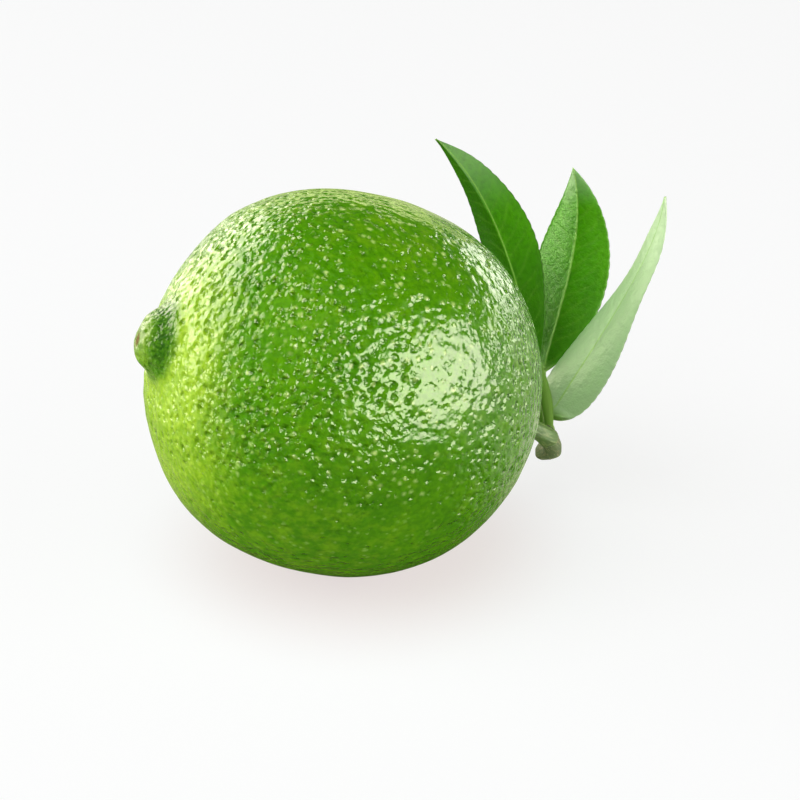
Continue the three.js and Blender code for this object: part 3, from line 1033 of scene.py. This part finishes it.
def make_stems_and_leaves():
    twig = spline(TWIG_ROUTE, TWIG_ROWS)
    make_calyx()
    make_stalk(twig)
    make_twig(twig)
    material = leaf_material()
    for name, leaf in LEAVES.items():
        make_leaf(name, leaf, twig, material)


# ----- floor, lamps and camera

LENS = 100
SENSOR = 36
VIEW_RAISED = math.radians(27)
VIEW_DISTANCE = 317.5
# Where the camera points, from the fruit's middle: to the camera's right and up.
VIEW_SHIFT = (8.443, -2.457)
TOWARDS_CAMERA = FRONT * math.cos(VIEW_RAISED) + UP * math.sin(VIEW_RAISED)
CAMERA_UP = UP * math.cos(VIEW_RAISED) - FRONT * math.sin(VIEW_RAISED)

# Each lamp: the way to it, its distance and size in metres, its watts and its colour.
WHITE = (1.0, 1.0, 1.0)
GLOSS_LAMPS = {
    "gloss_right": ((0.79, -0.54, 0.27), 0.6, (0.75, 0.54), 16.4, (1.0, 0.94, 1.0)),
    "gloss_left": ((-0.82, 0.5, 0.28), 0.6, (0.86, 0.55), 9.0, (1.0, 0.9, 0.82)),
    "gloss_back_right": ((0.74, 0.66, 0.0), 0.6, (0.5, 0.34), 3.0, (0.97, 1.0, 0.85)),
    "gloss_back": ((-0.1, 0.99, 0.08), 0.6, (0.6, 0.24), 0.85, (0.88, 1.0, 0.4)),
}
SOFT_LAMPS = {
    "key": ((-0.35, -0.35, 0.87), 1.2, (1.4, 1.4), 15.5, WHITE),
    "fill_left": ((-0.95, 0.0, 0.3), 1.2, (1.0, 1.0), 8.0, WHITE),
    "fill_right": ((0.95, -0.3, 0.25), 1.2, (1.0, 1.0), 7.5, WHITE),
}
# The pieces that a lamp lights, if not all.
LIT_PIECES = {
    "gloss_right": "fruit_skin calyx_button fruit_stem twig_bark leaf_middle_blade leaf_right_blade",
    "gloss_back_right": "fruit_skin",
    "gloss_back": "fruit_skin",
}

# How bright the background looks, where 1 is white.
BACKGROUND = 0.95
CEILING_LEVEL = 0.05
WALL_LEVEL = 0.12

# The floor, in metres. By the fruit it shines less by itself, so that the shadow shows, and round the
# fruit's foot a pinkish shadow is painted into its glow.
FLOOR_HALF_SIDE = 3.0
FLOOR_GLOW = 0.8
PAPER = (0.8, 0.8, 0.8, 1)
SEEN_PAPER = (0.178, 0.186, 0.19, 1)
MIRRORED_PAPER = (0.14, 0.17, 0.05, 1)
SEEN_TINT = (1.0, 0.995, 0.99, 1)
PAINTED_CONTACT_SHADOW = (0.92, 0.84, 0.83, 1)
MIRRORED_TINT = (0.85, 1.0, 0.35, 1)
BRIGHT_MIRRORED_TINT = (0.95, 1.0, 0.75, 1)


def make_camera():
    camera = new_object("camera", bpy.data.cameras.new("camera"))
    camera.data.lens = LENS
    camera.data.sensor_width = SENSOR
    camera.data.clip_start = 0.01
    target = Vector(MIDDLE) + RIGHT * VIEW_SHIFT[0] + CAMERA_UP * VIEW_SHIFT[1]
    camera.location = (target + TOWARDS_CAMERA * VIEW_DISTANCE) * MM
    camera.rotation_euler = (math.pi / 2 - VIEW_RAISED, 0, 0)
    bpy.context.scene.camera = camera


def make_lamp(name, way, distance, size, power, colour):
    """A flat lamp that looks at the fruit from that way."""
    light = bpy.data.lights.new(name, "AREA")
    light.shape = "RECTANGLE"
    light.size, light.size_y = size
    light.energy = power
    light.color = colour
    lamp = new_object(name, light)
    way = Vector(way).normalized()
    lamp.location = Vector(MIDDLE) * MM + way * distance
    lamp.rotation_mode = "QUATERNION"
    lamp.rotation_quaternion = (-way).to_track_quat("-Z", "Y")
    return lamp


def make_lamps():
    """Soft lamps that make no gloss, and lamps that only make gloss."""
    for name, lamp in GLOSS_LAMPS.items():
        make_lamp(name, *lamp).visible_diffuse = False
    for name, lamp in SOFT_LAMPS.items():
        make_lamp(name, *lamp).visible_glossy = False
    for name, pieces in LIT_PIECES.items():
        lit = bpy.data.collections.new("lit_by_" + name)
        for piece in pieces.split():
            lit.objects.link(bpy.data.objects[piece])
        bpy.data.objects[name].light_linking.receiver_collection = lit


def make_world():
    """A pale room whose ceiling is darker than its walls, and white where the camera sees it."""
    world = bpy.data.worlds.new("room")
    bpy.context.scene.world = world
    tree = empty_tree(world)
    way = add_node(tree, "ShaderNodeTexCoord").outputs["Generated"]
    room = remap(tree, parts_of(tree, way)[2], 0.1, 0.4, WALL_LEVEL, CEILING_LEVEL)
    seen = multiply(tree, add_node(tree, "ShaderNodeLightPath").outputs["Is Camera Ray"], BACKGROUND)
    level = calculate(tree, "MAXIMUM", room, seen)
    sky = add_node(tree, "ShaderNodeBackground", {"Color": (1, 1, 1, 1), "Strength": level})
    add_node(tree, "ShaderNodeOutputWorld", {"Surface": sky.outputs[0]})


def mirrored_floor(tree, place, away):
    """How bright the floor is in reflections, never above 1, and where its bright sides are."""
    aside, back = parts_of(tree, place)[:2]
    behind = calculate(tree, "MULTIPLY_ADD", calculate(tree, "ABSOLUTE", aside), 0.8, back)
    on_right = remap(tree, aside, 0.0, 0.05)
    on_left = multiply(tree, remap(tree, aside, -0.05, -0.02, 1.0, 0.0), remap(tree, away, 0.07, 0.14))
    bright = calculate(tree, "MAXIMUM", on_right, on_left)
    level = multiply(
        tree,
        remap(tree, behind, 0.0, 0.055, 0.03, 0.7),
        remap(tree, away, 0.22, 0.5, 1.0, 0.1),
        remap(tree, bright, 0.0, 1.0, 0.8, 1.4),
    )
    return level, bright


def make_floor():
    """A white floor that shines by itself where it is seen, keeps the fruit's shadow, and has a pinkish
    shadow painted round the fruit's foot.
    """
    side = FLOOR_HALF_SIDE / MM
    corners = [(-side, -side, 0), (side, -side, 0), (side, side, 0), (-side, side, 0)]
    floor = new_mesh("floor", corners, [(0, 1, 2, 3)])
    material = bpy.data.materials.new("floor_white")
    tree = empty_tree(material)
    rays = add_node(tree, "ShaderNodeLightPath").outputs
    by_camera = rays["Is Camera Ray"]
    seen = calculate(tree, "MAXIMUM", by_camera, rays["Is Glossy Ray"])
    seen = calculate(tree, "MAXIMUM", seen, rays["Is Transmission Ray"])
    place = add_node(tree, "ShaderNodeNewGeometry").outputs["Position"]
    away = add_node(tree, "ShaderNodeVectorMath", {0: place}, operation="LENGTH").outputs["Value"]

    seen_glow = multiply(tree, by_camera, remap(tree, away, 0.5, 1.1, FLOOR_GLOW, BACKGROUND))
    mirrored, bright = mirrored_floor(tree, place, away)
    in_gloss = calculate(tree, "SUBTRACT", 1.0, by_camera)
    level = calculate(tree, "MULTIPLY_ADD", in_gloss, mirrored, seen_glow)
    # A pinkish shadow painted into the floor's glow round the fruit's foot.
    seen_tint = mix_colours(tree, remap(tree, away, 0.012, 0.036, 1.0, 0.0), SEEN_TINT, PAINTED_CONTACT_SHADOW)
    mirrored_tint = mix_colours(tree, bright, MIRRORED_TINT, BRIGHT_MIRRORED_TINT)
    tint = mix_colours(tree, by_camera, mirrored_tint, seen_tint)
    glow = add_node(tree, "ShaderNodeEmission", {"Color": tint, "Strength": level})
    shown_paper = mix_colours(tree, by_camera, MIRRORED_PAPER, SEEN_PAPER)
    faint = add_node(tree, "ShaderNodeBsdfDiffuse", {"Color": shown_paper})
    shown = add_node(tree, "ShaderNodeAddShader", {0: faint.outputs[0], 1: glow.outputs[0]})
    paper = add_node(tree, "ShaderNodeBsdfDiffuse", {"Color": PAPER})
    mix = add_node(tree, "ShaderNodeMixShader", {0: seen, 1: paper.outputs[0], 2: shown.outputs[0]})
    add_node(tree, "ShaderNodeOutputMaterial", {"Surface": mix.outputs[0]})
    floor.data.materials.append(material)


make_fruit()
make_stems_and_leaves()
make_camera()
make_lamps()
make_world()
make_floor()
bpy.context.scene.view_settings.view_transform = "Standard"
